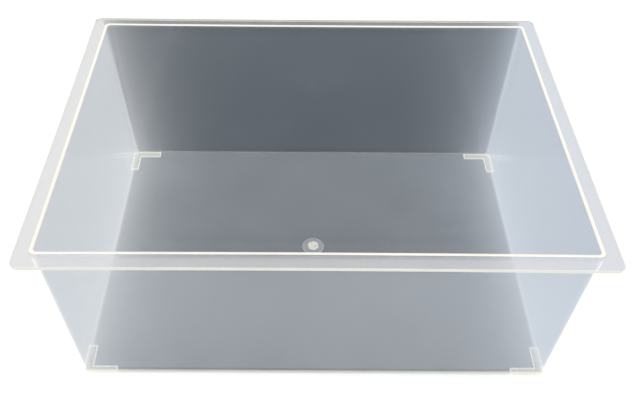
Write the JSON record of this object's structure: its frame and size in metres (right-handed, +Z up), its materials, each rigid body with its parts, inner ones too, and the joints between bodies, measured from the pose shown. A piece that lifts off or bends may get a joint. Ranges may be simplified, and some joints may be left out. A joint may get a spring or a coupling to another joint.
{
  "type": "water trough",
  "caption": "Open-topped rectangular water trough in translucent natural polypropylene, with drafted walls, a flat rim flange, a low lip and L-shaped corner feet.",
  "frame": {"origin": "on the surface that the four feet stand on, under the middle of the floor", "axes": "+Z up out of the open mouth, +X along the long side, +Y from the front wall to the back wall"},
  "size_m": [0.266, 0.2, 0.0994],
  "materials": {
    "natural_polypropylene": "translucent milky natural polypropylene, glossy moulded faces"
  },
  "bodies": {
    "root": {"floor_panel": "natural_polypropylene", "front_wall": "natural_polypropylene", "front_flange": "natural_polypropylene", "front_lip": "natural_polypropylene", "back_wall": "natural_polypropylene", "back_flange": "natural_polypropylene", "back_lip": "natural_polypropylene", "left_wall": "natural_polypropylene", "left_flange": "natural_polypropylene", "left_lip": "natural_polypropylene", "right_wall": "natural_polypropylene", "right_flange": "natural_polypropylene", "right_lip": "natural_polypropylene", "foot_front_left": "natural_polypropylene", "foot_front_right": "natural_polypropylene", "foot_back_left": "natural_polypropylene", "foot_back_right": "natural_polypropylene", "gate_boss": "natural_polypropylene"}
  },
  "joints": []
}
